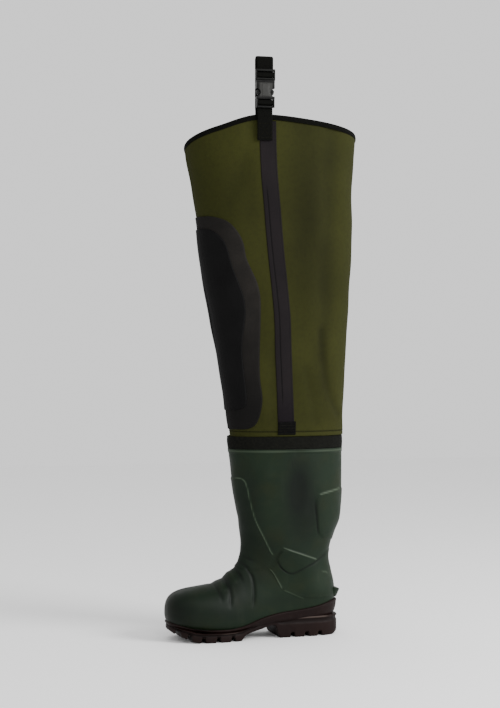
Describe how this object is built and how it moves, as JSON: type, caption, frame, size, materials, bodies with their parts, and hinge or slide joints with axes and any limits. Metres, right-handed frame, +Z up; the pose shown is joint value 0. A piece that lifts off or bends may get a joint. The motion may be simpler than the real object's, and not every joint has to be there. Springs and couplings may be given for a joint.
{
  "type": "hip wader",
  "caption": "Left hip wader: green rubber boot with lugged sole, soft olive thigh leg, knee pad, side tape and a buckled belt strap.",
  "frame": {"origin": "on the ground under the middle of the heel, on the flat face of the second heel lug", "axes": "+Z up along the leg, -X towards the toe, -Y towards the outer side of the foot"},
  "size_m": [0.3376, 0.1611, 0.9722],
  "materials": {
    "boot_upper": "moulded dark green rubber, satin, fine grain",
    "outsole": "moulded dark brown rubber, matte",
    "insole": "dark grey foam footbed with a cloth top",
    "leg": "olive neoprene foam with a knitted face, matte",
    "knee_pad_outer": "grey woven layer, matte",
    "knee_pad_inner": "black ribbed layer, matte",
    "side_tape": "dark brown grey knitted tape",
    "tape_end_patch": "black sewn webbing patch",
    "joint_band": "dark rubber tape, matte",
    "collar_binding": "black elastic binding",
    "buckle_strap": "black woven webbing",
    "belt_loop_strap": "black woven webbing",
    "buckle_female": "dark grey moulded plastic, glossy",
    "buckle_male": "dark grey moulded plastic, glossy"
  },
  "bodies": {
    "root": {"boot_upper": "boot_upper", "outsole": "outsole", "insole": "insole", "leg": "leg", "knee_pad_outer": "knee_pad_outer", "knee_pad_inner": "knee_pad_inner", "side_tape": "side_tape", "tape_end_patch": "tape_end_patch", "joint_band": "joint_band", "collar_binding": "collar_binding", "buckle_strap": "buckle_strap", "belt_loop_strap": "belt_loop_strap", "buckle_female": "buckle_female", "buckle_male": "buckle_male"}
  },
  "joints": []
}
